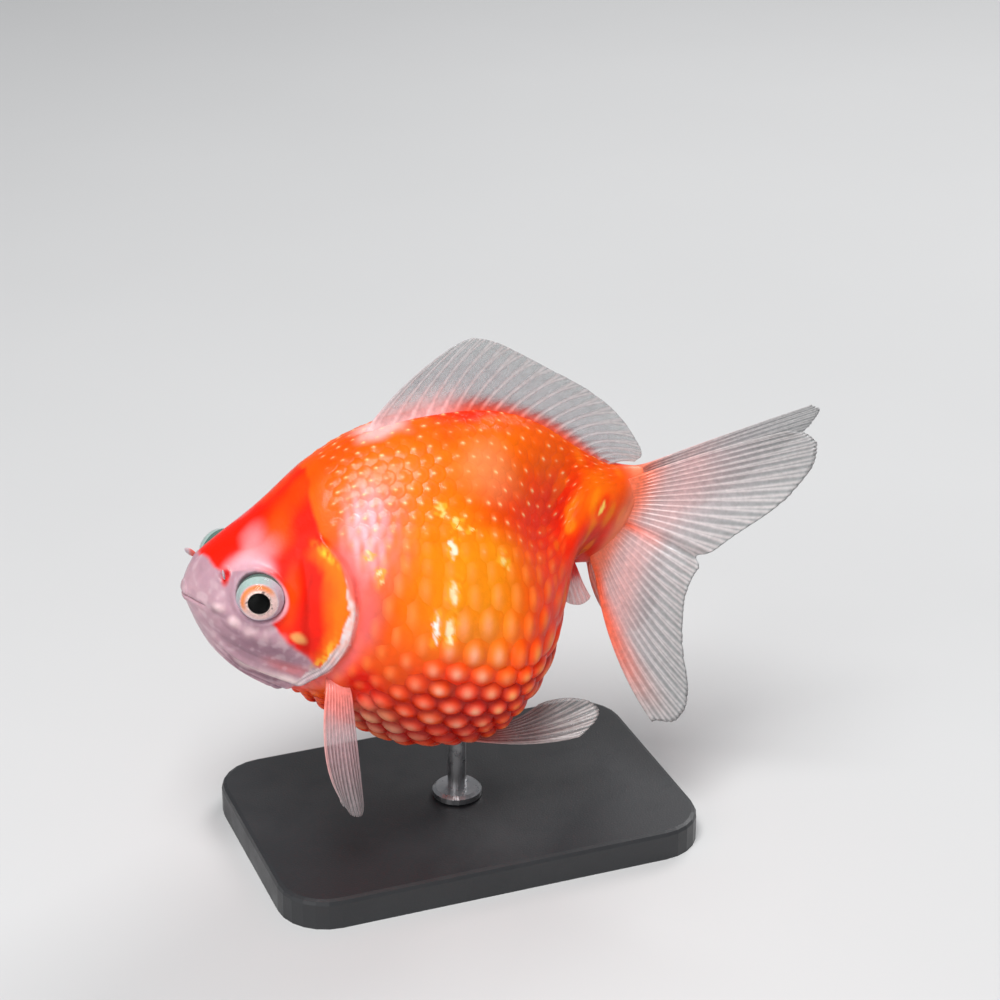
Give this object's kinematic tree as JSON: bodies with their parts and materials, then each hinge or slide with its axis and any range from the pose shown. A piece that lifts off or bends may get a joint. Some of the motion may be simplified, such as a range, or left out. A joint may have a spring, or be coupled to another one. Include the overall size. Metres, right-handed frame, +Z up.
{
  "type": "pearlscale goldfish",
  "caption": "Life-size still model of a pearlscale goldfish with a round body, pointed snout, one dorsal fin and a double tail, held level on a short rod above a flat base.",
  "frame": {"origin": "centre of the stand base's underside, on the surface that the stand rests on", "axes": "+Z up; +X along the fish from the head to the tail; the fish's left side, the side the picture shows, faces -Y"},
  "size_m": [0.1104, 0.0493, 0.0841],
  "materials": {
    "skin": "wet, glossy red-orange skin with pale pearl scales",
    "fin": "translucent grey-white fin with fine pink rays",
    "eye": "clear glossy eye with a copper iris and black pupil",
    "base": "satin charcoal",
    "rod": "plain satin steel"
  },
  "bodies": {
    "root": {"head": "skin", "gill_cover_left": "skin", "gill_cover_right": "skin", "trunk": "skin", "tail_root": "skin", "dorsal_fin": "fin", "tail_fin_upper_left": "fin", "tail_fin_lower_left": "fin", "tail_fin_upper_right": "fin", "tail_fin_lower_right": "fin", "anal_fin_left": "fin", "anal_fin_right": "fin", "pelvic_fin_left": "fin", "pelvic_fin_right": "fin", "pectoral_fin_left": "fin", "pectoral_fin_right": "fin", "eye_left": "eye", "eye_right": "eye", "stand_base": "base", "stand_rod": "rod", "stand_cradle": "rod"}
  },
  "joints": []
}
